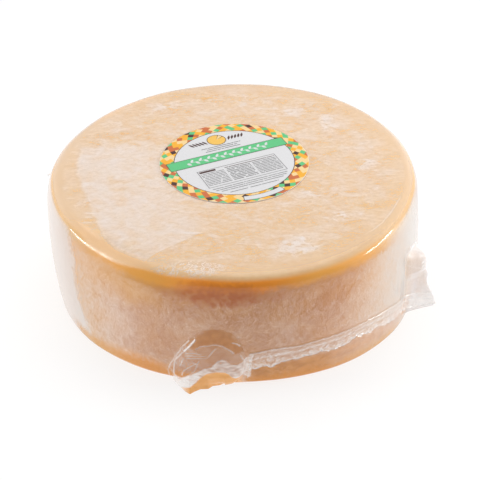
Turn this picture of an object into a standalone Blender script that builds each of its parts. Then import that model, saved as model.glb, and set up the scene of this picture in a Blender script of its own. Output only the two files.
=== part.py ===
"""A wheel of hard cheese in a tight clear bag, with a round paper label on top.

Metres, +Z up. The origin is the middle of the flat foot that the wheel rests on.
Angles are plan angles in degrees: 0 along +X, -90 towards the front of the wheel.
"""

import math

import bmesh
import bpy
from mathutils import Vector

# Wheel
WHEEL_RADIUS = 0.160
WHEEL_HEIGHT = 0.1128
TOP_EDGE_RADIUS = 0.0097
FOOT_EDGE_RADIUS = 0.0047
BELLY = 0.0038
TOP_RISE_X = 0.0097
TOP_RISE_Y = 0.0012

# How far the pressed plan strays from a true circle, and where its lobes point
TOP_LOBE = 0.0019
TOP_LOBE_AT = 51.4
FOOT_TRIM = 0.0009
FOOT_SHIFT = 0.0016
FOOT_SHIFT_AT = 16.0
FOOT_OVAL = 0.0017
FOOT_OVAL_AT = -38.5
FOOT_LOBE = 0.0040
FOOT_LOBE_AT = -25.9

# Label
LABEL_RADIUS = 0.0657
LABEL_CENTRE = (0.0008, 0.0070)
LABEL_THICKNESS = 0.0005

# Gap between pieces that touch
GAP = 0.0003

# Bag: film that stands off the wheel
FILM_EDGE = 0.0007
FIN_THICKNESS = 0.0016
CRIMP_DEPTH = 0.0004
CRIMP_STEP = 5.0
TABLE_CLEARANCE = 0.0005

# Closed end of the bag at the front: plan angle, lower and upper edge of its film
FRONT_EDGES = (
    (-108.75, 0.0110, 0.0220),
    (-106.5, 0.0020, 0.0350),
    (-103.0, TABLE_CLEARANCE, 0.0480),
    (-98.0, TABLE_CLEARANCE, 0.0600),
    (-94.0, TABLE_CLEARANCE, 0.0625),
    (-90.0, 0.0030, 0.0560),
    (-87.5, 0.0080, 0.0400),
    (-84.0, 0.0180, 0.0385),
    (-77.0, 0.0215, 0.0390),
    (-60.0, 0.0245, 0.0405),
    (-47.0, 0.0245, 0.0385),
    (-37.0, 0.0205, 0.0345),
    (-31.0, 0.0180, 0.0365),
    (-28.0, 0.0165, 0.0520),
    (-25.0, 0.0155, 0.0775),
    (-20.0, 0.0165, 0.0680),
    (-12.5, 0.0240, 0.0440),
)

# Pocket of air at the front, and the ear below it that touches the table
POCKET_AT = -97.5
POCKET_RISE = 0.034
POCKET_HALF_ANGLE = 9.5
POCKET_HALF_HEIGHT = 0.027
POCKET_REACH = 0.0105
FRONT_EAR_AT = -101.25
FRONT_EAR_HALF_ANGLE = 9.0
FRONT_EAR_HALF_HEIGHT = 0.026
FRONT_EAR_REACH = 0.0155
FRONT_EAR_SHARPNESS = 1.0

# Ear at the right end of the front seal: height and reach of its free edge
SIDE_EAR_AT = -25.0
SIDE_EAR_LEFT = 5.0
SIDE_EAR_RIGHT = 9.5
SIDE_EAR_EDGE = (
    (0.0150, 0.0225),
    (0.0170, 0.0240),
    (0.0250, 0.0220),
    (0.0310, 0.0180),
    (0.0400, 0.0135),
    (0.0520, 0.0130),
    (0.0580, 0.0100),
    (0.0690, 0.0095),
    (0.0745, 0.0050),
    (0.0780, 0.0000),
)
SIDE_EAR_SHARPNESS = 1.7

# Seam of the bag at the back: plan angle, lower and upper edge of its film
BACK_EDGES = (
    (72.5, 0.0270, 0.0360),
    (77.5, 0.0200, 0.0480),
    (83.0, 0.0260, 0.0450),
    (100.0, 0.0330, 0.0480),
    (130.0, 0.0450, 0.0600),
    (155.0, 0.0570, 0.0730),
    (161.0, 0.0590, 0.0810),
    (166.0, 0.0600, 0.0850),
    (171.0, 0.0660, 0.0790),
)
BACK_EAR_HALF_ANGLE = 5.5
BACK_EAR_HALF_HEIGHT = 0.0150
BACK_EARS = (
    (165.0, 0.0740, 0.0150),
    (77.5, 0.0330, 0.0120),
)
BACK_EAR_SHARPNESS = 1.4

# Facets and shading
WHEEL_SIDES = 120
TOP_EDGE_STEPS = 6
FOOT_EDGE_STEPS = 4
WALL_STEPS = 5
LABEL_SIDES = 96
BAG_ROWS = 12
BAG_COLUMN_STEP = 1.25
SHARP_EDGE = 40.0
SHARP_FOLD = 60.0


def lobes(angle, depth, count, peak):
    """Offset of a plan with evenly spaced lobes, one of them pointing to the peak angle."""
    return depth * math.cos(count * math.radians(angle - peak))


def plan_radius(angle, rise):
    """Radius of the wheel's side at a plan angle, for a rise from 0 (foot) to 1 (top)."""
    top = WHEEL_RADIUS + lobes(angle, TOP_LOBE, 3, TOP_LOBE_AT)
    foot = WHEEL_RADIUS - FOOT_TRIM
    foot += lobes(angle, FOOT_SHIFT, 1, FOOT_SHIFT_AT)
    foot += lobes(angle, FOOT_OVAL, 2, FOOT_OVAL_AT)
    foot += lobes(angle, FOOT_LOBE, 3, FOOT_LOBE_AT)
    return rise * top + (1 - rise) * foot + 4 * rise * (1 - rise) * BELLY


def top_height(x, y):
    """Height of the wheel's flat top, which leans a little."""
    return WHEEL_HEIGHT + TOP_RISE_X * x + TOP_RISE_Y * y


def polar(angle, radius, z):
    """Point at a plan angle, a distance from the axis and a height."""
    turn = math.radians(angle)
    return Vector((radius * math.cos(turn), radius * math.sin(turn), z))


def wheel_profile():
    """Inset from the side and rise of each ring of the wheel, from the foot to the top."""
    profile = []
    for step in range(FOOT_EDGE_STEPS + 1):
        turn = math.pi / 2 * step / FOOT_EDGE_STEPS
        inset = FOOT_EDGE_RADIUS * (1 - math.sin(turn))
        profile.append((inset, FOOT_EDGE_RADIUS * (1 - math.cos(turn)) / WHEEL_HEIGHT))
    low = FOOT_EDGE_RADIUS / WHEEL_HEIGHT
    high = 1 - TOP_EDGE_RADIUS / WHEEL_HEIGHT
    for step in range(1, WALL_STEPS):
        profile.append((0.0, low + (high - low) * step / WALL_STEPS))
    for step in range(TOP_EDGE_STEPS + 1):
        turn = math.pi / 2 * step / TOP_EDGE_STEPS
        inset = TOP_EDGE_RADIUS * (1 - math.cos(turn))
        profile.append((inset, 1 - TOP_EDGE_RADIUS * (1 - math.sin(turn)) / WHEEL_HEIGHT))
    return profile


def wheel_ring(inset, rise):
    """Points of one ring round the wheel."""
    ring = []
    for side in range(WHEEL_SIDES):
        angle = 360.0 * side / WHEEL_SIDES
        point = polar(angle, plan_radius(angle, rise) - inset, 0.0)
        point.z = rise * top_height(point.x, point.y)
        ring.append(point)
    return ring


def disc_ring(z_offset):
    """Points of the label's edge, lying along the wheel's top."""
    ring = []
    for side in range(LABEL_SIDES):
        point = polar(360.0 * side / LABEL_SIDES, LABEL_RADIUS, 0.0)
        point.x += LABEL_CENTRE[0]
        point.y += LABEL_CENTRE[1]
        point.z = top_height(point.x, point.y) + z_offset
        ring.append(point)
    return ring


def stacked_rings(rings):
    """Closed mesh from rings of points, the first at the bottom, with flat end faces."""
    mesh = bmesh.new()
    loops = [[mesh.verts.new(point) for point in ring] for ring in rings]
    count = len(loops[0])
    mesh.faces.new(loops[0][::-1])
    mesh.faces.new(loops[-1])
    for lower, upper in zip(loops, loops[1:]):
        for i in range(count):
            j = (i + 1) % count
            mesh.faces.new((lower[i], lower[j], upper[j], upper[i]))
    return mesh


def smooth_step(x):
    """Ease from 0 to 1."""
    x = min(max(x, 0.0), 1.0)
    return x * x * (3 - 2 * x)


def eased(keys, at, column):
    """Value of a column of the keys at a place, eased from one key to the next."""
    if at <= keys[0][0]:
        return keys[0][column]
    for low, high in zip(keys, keys[1:]):
        if at <= high[0]:
            share = smooth_step((at - low[0]) / (high[0] - low[0]))
            return low[column] + (high[column] - low[column]) * share
    return keys[-1][column]


def straight(keys, at):
    """Value at a place along straight lines from one (place, value) key to the next."""
    if at <= keys[0][0]:
        return keys[0][1]
    for low, high in zip(keys, keys[1:]):
        if at <= high[0]:
            return low[1] + (high[1] - low[1]) * (at - low[0]) / (high[0] - low[0])
    return keys[-1][1]


def distance_in(angle, z, at, rise, half_angle, half_height):
    """Distance from the middle of an oval patch on the wall, 1 at its edge."""
    return math.hypot((angle - at) / half_angle, (z - rise) / half_height)


def dome(distance, reach):
    """Round bubble of film."""
    return reach * math.sqrt(max(0.0, 1 - distance * distance))


def tent(distance, reach, sharpness):
    """Film drawn out to a point."""
    return reach * max(0.0, 1 - distance) ** sharpness


def wall_point(angle, z, stand_off):
    """Point off the wheel's side; below the foot's rounding the film hangs straight."""
    rise = max(z, FOOT_EDGE_RADIUS) / WHEEL_HEIGHT
    return polar(angle, plan_radius(angle, rise) + GAP + stand_off, z)


def fin_thickness(angle, share):
    """Thickness of the flat double film, thin at both edges and crimped along its length."""
    body = math.sqrt(math.sin(math.pi * share)) if 0 < share < 1 else 0.0
    crimp = CRIMP_DEPTH * math.sin(2 * math.pi * angle / CRIMP_STEP)
    return FILM_EDGE + body * (FIN_THICKNESS - FILM_EDGE + crimp)


def front_outer(angle, z, share):
    """Outer face of the front film: seal, air pocket and both ears."""
    pocket = distance_in(angle, z, POCKET_AT, POCKET_RISE, POCKET_HALF_ANGLE, POCKET_HALF_HEIGHT)
    ear = distance_in(angle, z, FRONT_EAR_AT, 0.0, FRONT_EAR_HALF_ANGLE, FRONT_EAR_HALF_HEIGHT)
    lift = max(dome(pocket, POCKET_REACH), tent(ear, FRONT_EAR_REACH, FRONT_EAR_SHARPNESS))
    point = wall_point(angle, z, fin_thickness(angle, share) + lift)
    width = SIDE_EAR_LEFT if angle < SIDE_EAR_AT else SIDE_EAR_RIGHT
    across = abs(angle - SIDE_EAR_AT) / width
    point.x += tent(across, straight(SIDE_EAR_EDGE, z), SIDE_EAR_SHARPNESS)
    return point


def back_outer(angle, z, share):
    """Outer face of the back film: seam and two small ears."""
    lift = 0.0
    for at, rise, reach in BACK_EARS:
        ear = distance_in(angle, z, at, rise, BACK_EAR_HALF_ANGLE, BACK_EAR_HALF_HEIGHT)
        lift += tent(ear, reach, BACK_EAR_SHARPNESS)
    return wall_point(angle, z, fin_thickness(angle, share) + lift)


def film_solid(edges, outer_face):
    """Closed mesh of film along the wall between two edges, its back against the wheel."""
    columns = round((edges[-1][0] - edges[0][0]) / BAG_COLUMN_STEP)
    mesh = bmesh.new()
    inner = []
    outer = []
    for column in range(columns + 1):
        angle = edges[0][0] + BAG_COLUMN_STEP * column
        low = eased(edges, angle, 1)
        high = eased(edges, angle, 2)
        shares = [row / BAG_ROWS for row in range(BAG_ROWS + 1)]
        heights = [low + (high - low) * share for share in shares]
        inner.append([mesh.verts.new(wall_point(angle, z, 0.0)) for z in heights])
        outer.append([mesh.verts.new(outer_face(angle, z, share)) for z, share in zip(heights, shares)])
    for c in range(columns):
        for r in range(BAG_ROWS):
            mesh.faces.new((outer[c][r], outer[c + 1][r], outer[c + 1][r + 1], outer[c][r + 1]))
            mesh.faces.new((inner[c][r], inner[c][r + 1], inner[c + 1][r + 1], inner[c + 1][r]))
        mesh.faces.new((inner[c][0], inner[c + 1][0], outer[c + 1][0], outer[c][0]))
        mesh.faces.new((inner[c][-1], outer[c][-1], outer[c + 1][-1], inner[c + 1][-1]))
    for r in range(BAG_ROWS):
        mesh.faces.new((inner[0][r], outer[0][r], outer[0][r + 1], inner[0][r + 1]))
        mesh.faces.new((inner[-1][r], inner[-1][r + 1], outer[-1][r + 1], outer[-1][r]))
    bmesh.ops.triangulate(mesh, faces=mesh.faces[:])
    return mesh


def material(name, colour, roughness):
    """Principled material of one colour."""
    made = bpy.data.materials.new(name)
    made.use_nodes = True
    shader = made.node_tree.nodes["Principled BSDF"]
    shader.inputs["Base Color"].default_value = (*colour, 1.0)
    shader.inputs["Roughness"].default_value = roughness
    shader.inputs["Metallic"].default_value = 0.0
    made.diffuse_color = (*colour, 1.0)
    return made


def piece(name, mesh, finish, sharp_angle):
    """Named object from a mesh, shaded smooth up to an angle."""
    data = bpy.data.meshes.new(name)
    mesh.to_mesh(data)
    mesh.free()
    data.shade_smooth()
    data.set_sharp_from_angle(angle=math.radians(sharp_angle))
    data.materials.append(finish)
    made = bpy.data.objects.new(name, data)
    bpy.context.scene.collection.objects.link(made)
    return made


def cheese_wheel():
    """Solid wheel of cheese with rounded edges and a slightly slumped side."""
    finish = material("cheese", (0.80, 0.56, 0.33), 0.45)
    rings = [wheel_ring(inset, rise) for inset, rise in wheel_profile()]
    return piece("cheese_wheel", stacked_rings(rings), finish, SHARP_EDGE)


def label():
    """Round paper label stuck on the bag over the wheel's top."""
    finish = material("label_paper", (0.86, 0.84, 0.80), 0.5)
    rings = [disc_ring(GAP), disc_ring(GAP + LABEL_THICKNESS)]
    return piece("label", stacked_rings(rings), finish, SHARP_EDGE)


def bag_front_seal():
    """Front end of the bag: flat seal, air pocket and two ears in one piece of film."""
    finish = material("clear_film", (0.78, 0.74, 0.70), 0.15)
    return piece("bag_front_seal", film_solid(FRONT_EDGES, front_outer), finish, SHARP_FOLD)


def bag_back_seam():
    """Back end of the bag: flat seam with two small ears."""
    finish = material("clear_film_back", (0.78, 0.74, 0.70), 0.15)
    return piece("bag_back_seam", film_solid(BACK_EDGES, back_outer), finish, SHARP_FOLD)


for old in list(bpy.data.objects):
    bpy.data.objects.remove(old, do_unlink=True)

for make in (cheese_wheel, label, bag_front_seal, bag_back_seam):
    made = make()
    print(made.name, len(made.data.polygons), "faces")
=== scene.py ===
# %% [markdown]
# # A wheel of hard cheese in a tight clear bag
#
# The wheel is about a third of a metre across and heavy enough to need both hands. It is sold
# whole, shrunk into a clear bag with a round paper label stuck on top. Three things make its
# look: the warm rind, the film that lies on it (clear where it clings, milky where a little air
# is left under it), and the loose film of the seal round the side.
#
# The solids of the wheel come first. They fix every size, and nothing here moves them.

# %% Load the solids
import math
import random

import bpy
import numpy as np
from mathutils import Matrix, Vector


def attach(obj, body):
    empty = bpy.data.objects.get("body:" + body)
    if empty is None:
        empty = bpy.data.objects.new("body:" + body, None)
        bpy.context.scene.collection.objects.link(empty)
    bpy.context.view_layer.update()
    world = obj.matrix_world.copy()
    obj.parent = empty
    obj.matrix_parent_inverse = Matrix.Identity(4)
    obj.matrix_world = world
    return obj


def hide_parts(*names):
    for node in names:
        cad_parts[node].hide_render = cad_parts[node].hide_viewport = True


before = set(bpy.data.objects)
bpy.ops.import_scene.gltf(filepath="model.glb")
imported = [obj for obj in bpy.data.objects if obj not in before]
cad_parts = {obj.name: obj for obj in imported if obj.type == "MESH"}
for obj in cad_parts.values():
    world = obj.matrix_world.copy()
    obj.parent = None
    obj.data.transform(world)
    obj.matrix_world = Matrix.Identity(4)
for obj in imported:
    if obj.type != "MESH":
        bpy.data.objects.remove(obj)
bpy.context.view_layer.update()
BODY = "root"

# %% [markdown]
# ## Camera
#
# The photo looks down on the wheel by 35 degrees from about a metre away. That distance matters
# as much as the angle: seen from further off, the far rim would look wider. The lens is given by
# its focal length, and a small shift puts the wheel where the photo has it in the frame.

# %% Camera
VIEW_TARGET_HEIGHT = 0.0564
VIEW_DISTANCE = 0.9699
VIEW_DOWN = math.radians(34.92)
LENS = 80.47
SHIFT_RIGHT = 0.01373
SHIFT_UP = -0.04341

camera_data = bpy.data.cameras.new("camera")
camera_data.sensor_width = 36.0
camera_data.lens = LENS
camera_data.shift_x = SHIFT_RIGHT
camera_data.shift_y = SHIFT_UP
camera = bpy.data.objects.new("camera", camera_data)
camera.location = (
    0.0,
    -VIEW_DISTANCE * math.cos(VIEW_DOWN),
    VIEW_TARGET_HEIGHT + VIEW_DISTANCE * math.sin(VIEW_DOWN),
)
camera.rotation_euler = (math.pi / 2 - VIEW_DOWN, 0.0, 0.0)
scene = bpy.context.scene
scene.collection.objects.link(camera)
scene.camera = camera
scene.view_settings.view_transform = "Standard"
print("camera at", tuple(round(c, 3) for c in camera.location))

# %% [markdown]
# ## Shader maths
#
# A material is a net of nodes, and wiring it by hand hides the idea behind the wires. The small
# class below wraps one socket, so that a mask can be written as `1 - haze * 0.5` and each
# operator adds its Math node. Every other kind of node comes from one method, which takes the
# node's type, its settings and what goes into its sockets.

# %% A socket with Python's arithmetic
class Field:
    """A socket of a material: a value that may change over the surface."""

    def __init__(self, tree, socket=None):
        self.tree = tree
        self.socket = socket

    def node(self, kind, settings=None, sockets=None, output=0):
        """Add a node, set it up, fill its sockets and return one of its outputs."""
        made = self.tree.nodes.new(kind)
        for name, value in (settings or {}).items():
            setattr(made, name, value)
        for name, value in (sockets or {}).items():
            self.feed(made.inputs[name], value)
        return Field(self.tree, made.outputs[output])

    def feed(self, socket, value):
        """Link a field to a socket, or set a plain value on it."""
        if isinstance(value, Field):
            self.tree.links.new(value.socket, socket)
        else:
            socket.default_value = value

    def maths(self, operation, *values):
        """One Math node."""
        return self.node("ShaderNodeMath", {"operation": operation}, dict(enumerate(values)))

    def __add__(self, other):
        return self.maths("ADD", self, other)

    __radd__ = __add__

    def __sub__(self, other):
        return self.maths("SUBTRACT", self, other)

    def __rsub__(self, other):
        return self.maths("SUBTRACT", other, self)

    def __mul__(self, other):
        return self.maths("MULTIPLY", self, other)

    __rmul__ = __mul__

    def __truediv__(self, other):
        return self.maths("DIVIDE", self, other)

    def __rtruediv__(self, other):
        return self.maths("DIVIDE", other, self)

    def __pow__(self, other):
        return self.maths("POWER", self, other)

    def __abs__(self):
        return self.maths("ABSOLUTE", self)


print("operators ready")


# %% Masks, grain and colour
def ease(value, low, high):
    """0 below low, 1 above high (or the other way round) and smooth in between."""
    settings = {"interpolation_type": "SMOOTHSTEP"}
    if low < high:
        return value.node("ShaderNodeMapRange", settings, {0: value, 1: low, 2: high})
    return 1 - value.node("ShaderNodeMapRange", settings, {0: value, 1: high, 2: low})


def more(a, b):
    """The larger of two values."""
    return a.maths("MAXIMUM", a, b)


def less(a, b):
    """The smaller of two values."""
    return a.maths("MINIMUM", a, b)


def grain(place, size, detail=2.0, turn=(0.0, 0.0, 0.0), rough=0.5, twist=0.0):
    """Cloudy noise from 0 to 1 whose blots measure about the given sizes, in metres."""
    settings = {"vector_type": "TEXTURE"}
    local = place.node("ShaderNodeMapping", settings, {0: place, "Rotation": turn, "Scale": size})
    sockets = {"Vector": local, "Scale": 1.0, "Detail": detail, "Roughness": rough, "Distortion": twist}
    return place.node("ShaderNodeTexNoise", {}, sockets)


def blend(base, over, share):
    """Colour mixed from a base towards another by a share."""
    settings = {"data_type": "RGBA"}
    return share.node("ShaderNodeMix", settings, {0: share, 6: base, 7: over}, output=2)


def uneven(noise, amount):
    """Noise as a change around zero; the amount is its full swing."""
    return (noise - 0.5) * amount


def spot(x, y, centre, size, core=0.15):
    """Soft round or oval mask, 1 in its core and 0 from its edge on."""
    across = (x - centre[0]) / size[0]
    along = (y - centre[1]) / size[1]
    return ease(across * across + along * along, 1.0, core)


def beside(x, y, start, end, soft):
    """1 to the left of the line from start to end, seen from above, with a soft edge."""
    run = (end[0] - start[0], end[1] - start[1])
    length = math.hypot(*run)
    distance = (y - start[1]) * (run[0] / length) - (x - start[0]) * (run[1] / length)
    return ease(distance, -soft / 2, soft / 2)


print("helpers ready")

# %% [markdown]
# ## Studio
#
# The photo is a packshot: a white ground, soft lights at both sides and a wide one overhead.
# Two narrow lights at the sides draw the thin bright lines along the shoulder of the wheel. The
# side that faces the camera gets only what the ground and the room give, so it is the darkest.
# The floor gives off a little light of its own, which keeps it near white up to the wheel, as on
# a light table.

# %% Floor, room and lights
FLOOR_SIZE = 12.0
FLOOR_DROP = 0.0002
FLOOR_TONE = 0.20
FLOOR_GLOW = 0.80
ROOM_LIGHT = 0.20
LIGHTS = (
    ("overhead", (0.0, 0.35, 1.3), (0.0, 0.0, 0.10), (1.3, 1.0), 12.9),
    ("left_box", (-1.30, 0.0, 0.60), (0.0, 0.0, 0.06), (1.5, 1.1), 5.0),
    ("right_box", (1.30, 0.0, 0.60), (0.0, 0.0, 0.06), (1.5, 1.1), 4.8),
    ("left_strip", (-1.05, -0.115, 0.315), (0.0, 0.0, 0.10), (0.31, 0.040), 3.4),
    ("right_strip", (1.05, 0.02, 0.42), (0.0, 0.0, 0.10), (0.48, 0.06), 5.4),
)


def studio_floor():
    """Large pale floor just below the wheel."""
    half = FLOOR_SIZE / 2
    data = bpy.data.meshes.new("floor")
    corners = [(-half, -half), (half, -half), (half, half), (-half, half)]
    data.from_pydata([(x, y, -FLOOR_DROP) for x, y in corners], [], [(0, 1, 2, 3)])
    finish = bpy.data.materials.new("floor")
    finish.use_nodes = True
    shader = finish.node_tree.nodes["Principled BSDF"]
    shader.inputs["Base Color"].default_value = (FLOOR_TONE, FLOOR_TONE, FLOOR_TONE, 1.0)
    shader.inputs["Roughness"].default_value = 0.9
    shader.inputs["Emission Color"].default_value = (1.0, 1.0, 1.0, 1.0)
    shader.inputs["Emission Strength"].default_value = FLOOR_GLOW
    data.materials.append(finish)
    made = bpy.data.objects.new("floor", data)
    scene.collection.objects.link(made)
    return made


def soft_light(name, place, aim, size, power):
    """Rectangular soft light that points at a place."""
    data = bpy.data.lights.new(name, "AREA")
    data.shape = "RECTANGLE"
    data.size = size[0]
    data.size_y = size[1]
    data.energy = power
    made = bpy.data.objects.new(name, data)
    made.location = place
    heading = made.location - Vector(aim)
    made.rotation_euler = heading.to_track_quat("Z", "Y").to_euler()
    scene.collection.objects.link(made)
    return made


studio_floor()
room = bpy.data.worlds.new("room")
room.use_nodes = True
room.node_tree.nodes["Background"].inputs["Color"].default_value = (1.0, 1.0, 1.0, 1.0)
room.node_tree.nodes["Background"].inputs["Strength"].default_value = ROOM_LIGHT
scene.world = room
for light in LIGHTS:
    soft_light(*light)

# %% [markdown]
# ## Form of the wheel
#
# A wheel of cheese is pressed in a round mould, so a turned profile is the natural start: a flat
# foot, a slightly slumped side and rounded edges. Its plan isn't a true circle, and its top leans
# a little. These are the solid's own sizes, so that the fine mesh and the film lie on it.

# %% Sizes of the wheel
WHEEL_RADIUS = 0.160
WHEEL_HEIGHT = 0.1128
TOP_EDGE_RADIUS = 0.0097
FOOT_EDGE_RADIUS = 0.0047
BELLY = 0.0038
TOP_RISE_X = 0.0097
TOP_RISE_Y = 0.0012
TOP_LOBE = (0.0019, 3, 51.4)
FOOT_TRIM = 0.0009
FOOT_LOBES = ((0.0016, 1, 16.0), (0.0017, 2, -38.5), (0.0040, 3, -25.9))


def lobes(angle, depth, count, peak):
    """Offset of a plan with evenly spaced lobes, one of them at the peak angle."""
    return depth * np.cos(count * np.radians(angle - peak))


def plan_radius(angle, rise):
    """Radius of the wheel's side at a plan angle, from rise 0 (foot) to 1 (top)."""
    top = WHEEL_RADIUS + lobes(angle, *TOP_LOBE)
    foot = WHEEL_RADIUS - FOOT_TRIM + sum(lobes(angle, *lobe) for lobe in FOOT_LOBES)
    return rise * top + (1 - rise) * foot + 4 * rise * (1 - rise) * BELLY


SLUMPS = (
    (-150.0, -131.0, -112.0, -96.0, 0.0043),
    (-245.0, -190.0, -165.0, -150.0, 0.0020),
    (-45.0, -30.0, -22.0, -5.0, 0.0012),
)
SLUMP_SPREAD = 0.009


def ramp(value, start, end):
    """0 up to the start, 1 from the end on and straight in between, for numbers of the mesh."""
    return np.clip((value - start) / (end - start), 0, 1)


def bell(distance):
    """1 at distance 0, falling off smoothly to nearly 0 at 2."""
    return np.exp(-(distance ** 2))


def slumped(angle):
    """How far the shoulder has sunk at a plan angle: most at the front left."""
    depth = np.zeros(np.shape(angle))
    for start, full, still, end, most in SLUMPS:
        at = np.mod(angle - start, 360.0) + start
        both = np.minimum(ramp(at, start, full), ramp(at, end, still))
        depth = np.maximum(depth, most * both * both * (3 - 2 * both))
    return depth


def top_height(x, y):
    """Height of the flat top."""
    return WHEEL_HEIGHT + TOP_RISE_X * x + TOP_RISE_Y * y


print("front radius at mid height:", round(float(plan_radius(-90.0, 0.5)), 4))


# %% Rows of the profile
def profile_rows(wall_heights, edge_steps, foot_shares, top_shares):
    """Rows from the middle of the foot to the middle of the top.

    Each row is (share of the radius, inset from the side, rise).
    """
    quarter = [math.pi / 2 * step / edge_steps for step in range(edge_steps + 1)]
    low = FOOT_EDGE_RADIUS
    high = TOP_EDGE_RADIUS
    rows = [(share, low, 0.0) for share in foot_shares]
    for turn in quarter:
        rows.append((1.0, low * (1 - math.sin(turn)), low * (1 - math.cos(turn)) / WHEEL_HEIGHT))
    rows += [(1.0, 0.0, z / WHEEL_HEIGHT) for z in wall_heights]
    for turn in quarter:
        rise = 1 - high * (1 - math.sin(turn)) / WHEEL_HEIGHT
        rows.append((1.0, high * (1 - math.cos(turn)), rise))
    rows += [(share, high, 1.0) for share in top_shares]
    return np.array(rows)


def turned_grid(rows, angles):
    """Points of the turned form, row by row: an array of rows x columns x 3."""
    share = rows[:, 0:1]
    inset = rows[:, 1:2]
    rise = rows[:, 2:3]
    radius = share * (plan_radius(angles[None, :], rise) - inset)
    turn = np.radians(angles)[None, :]
    below = (1 - rise) * WHEEL_HEIGHT
    within = plan_radius(angles[None, :], rise) - radius
    middle = TOP_EDGE_RADIUS * (2 - math.sqrt(2))
    near_edge = bell((below + within - middle) / SLUMP_SPREAD)
    sag = slumped(angles)[None, :] * near_edge / math.sqrt(2)
    radius = radius - sag
    x = radius * np.cos(turn)
    y = radius * np.sin(turn)
    return np.stack([x, y, rise * top_height(x, y) - sag], axis=-1)


def grid_normals(grid):
    """Outward directions of a turned grid, from the slopes between neighbours."""
    round_it = np.roll(grid, -1, axis=1) - np.roll(grid, 1, axis=1)
    up_it = np.gradient(grid, axis=0)
    normal = np.cross(round_it, up_it)
    return normal / np.maximum(np.linalg.norm(normal, axis=-1, keepdims=True), 1e-12)


def ripples(points, size, seed, squeeze=(1.0, 1.0, 1.0), waves=14):
    """Smooth random relief of about -1 to 1: a seeded sum of waves through space."""
    draw = np.random.default_rng(seed)
    total = np.zeros(points.shape[:-1])
    for _ in range(waves):
        heading = draw.normal(size=3)
        heading *= 2 * math.pi / size * draw.uniform(0.6, 1.3) / np.linalg.norm(heading)
        total += np.sin(points @ (heading * np.array(squeeze)) + draw.uniform(0, 2 * math.pi))
    return total / math.sqrt(waves / 2) / 1.6


print("rows of a coarse profile:", len(profile_rows([0.05], 4, [0.5], [0.5])))


# %% Mesh from a grid
def link_piece(name, points, faces, finishes, node=None, smooth=True):
    """Object from points and faces that rides on the body."""
    data = bpy.data.meshes.new(name)
    data.from_pydata(points, [], faces)
    data.validate()
    for finish in finishes:
        data.materials.append(finish)
    if smooth:
        data.shade_smooth()
    made = bpy.data.objects.new(name, data)
    scene.collection.objects.link(made)
    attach(made, BODY)
    if node:
        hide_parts(node)
    return made


def turned_faces(rows, columns):
    """Faces of a closed turned form with one vertex at each pole, added last."""
    count = rows * columns
    faces = []
    for r in range(rows - 1):
        low = r * columns
        high = low + columns
        for c in range(columns):
            d = (c + 1) % columns
            faces.append((low + c, low + d, high + d, high + c))
    last = (rows - 1) * columns
    for c in range(columns):
        d = (c + 1) % columns
        faces.append((count, d, c))
        faces.append((count + 1, last + c, last + d))
    return faces


def with_poles(grid):
    """Points of a grid as a list, with the middles of its first and last row added."""
    flat = grid.reshape(-1, 3)
    poles = [grid[0].mean(axis=0), grid[-1].mean(axis=0)]
    return np.vstack([flat, poles]).tolist()


def store(piece, name, values):
    """Keep a value for each point of a turned mesh; the two poles get 0."""
    layer = piece.data.attributes.new(name, "FLOAT", "POINT")
    flat = np.zeros(len(piece.data.vertices))
    flat[: values.size] = values.reshape(-1)
    layer.data.foreach_set("value", flat)


def store_level(piece, rows, angles):
    """Keep how high each point of a turned form lies, before slump and relief."""
    store(piece, "level", (rows[:, 2:3] + 0 * angles[None, :]) * WHEEL_HEIGHT)
    level = piece.data.attributes["level"].data
    level[len(level) - 1].value = WHEEL_HEIGHT


print("mesh helpers ready")

# %% [markdown]
# ## The cheese
#
# Under the film the rind is golden and a little greasy, with a darker, more orange skin along
# the edges and a brown patch below the front of the shoulder. The fine mesh carries the slow
# unevenness of a pressed cheese; its finest grain is left to the material. A gloss coat stands
# for the film that clings to it and draws the thin bright lines on the shoulder. Parts of the
# colour are painted light and shade: a lighter rim and shoulder edge on the top, and a side
# that is darker at the front and lighter towards its ends.

# %% Colours of the rind
RIND = (0.750, 0.440, 0.145, 1.0)
RIND_DEEP = (0.725, 0.395, 0.110, 1.0)
RIND_RIM_PAINTED_LIGHT = (0.765, 0.445, 0.150, 1.0)
RIND_ROLL_PAINTED_LIGHT = (0.90, 0.50, 0.165, 1.0)
SIDE = (0.645, 0.284, 0.098, 1.0)
SIDE_DEEP = (0.585, 0.235, 0.074, 1.0)
SIDE_WARM = (0.75, 0.362, 0.105, 1.0)
SIDE_END_PAINTED_LIGHT = (0.72, 0.370, 0.125, 1.0)
EDGE_RIM = (0.735, 0.435, 0.165, 1.0)
EDGE_GOLD = (0.86, 0.385, 0.068, 1.0)
EDGE_FRONT = (0.93, 0.300, 0.020, 1.0)
BROWN_PATCH = (0.53, 0.132, 0.020, 1.0)
FOOT = (0.84, 0.325, 0.045, 1.0)
FOOT_END = (0.72, 0.365, 0.100, 1.0)
UNDER_SEAL = (0.73, 0.315, 0.085, 1.0)
UNDER_DEEP = (0.63, 0.245, 0.050, 1.0)
print("rind in the middle of the top:", RIND[:3], "and of the side:", SIDE[:3])


# %% Helpers for materials
def new_material(name):
    """Material, its shader and the place on the object as a field."""
    made = bpy.data.materials.new(name)
    made.use_nodes = True
    tree = made.node_tree
    place = Field(tree).node("ShaderNodeTexCoord", output="Object")
    return made, tree.nodes["Principled BSDF"], place


def dress(place, shader, sockets):
    """Fill sockets of a shader with fields or plain values."""
    for name, value in sockets.items():
        place.feed(shader.inputs[name], value)


def bump(place, strength, distance, height):
    """Normal of a surface whose finest relief is left to the shader."""
    sockets = {"Strength": strength, "Distance": distance, "Height": height}
    return place.node("ShaderNodeBump", {}, sockets)


def in_plan(place):
    """The plan coordinates x and y of a place, each as a field."""
    return [place.node("ShaderNodeSeparateXYZ", {}, {0: place}, output=i) for i in range(2)]


def attribute(field, name):
    """Value that the mesh keeps for each of its points."""
    return field.node("ShaderNodeAttribute", {"attribute_name": name}, output="Fac")


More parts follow.
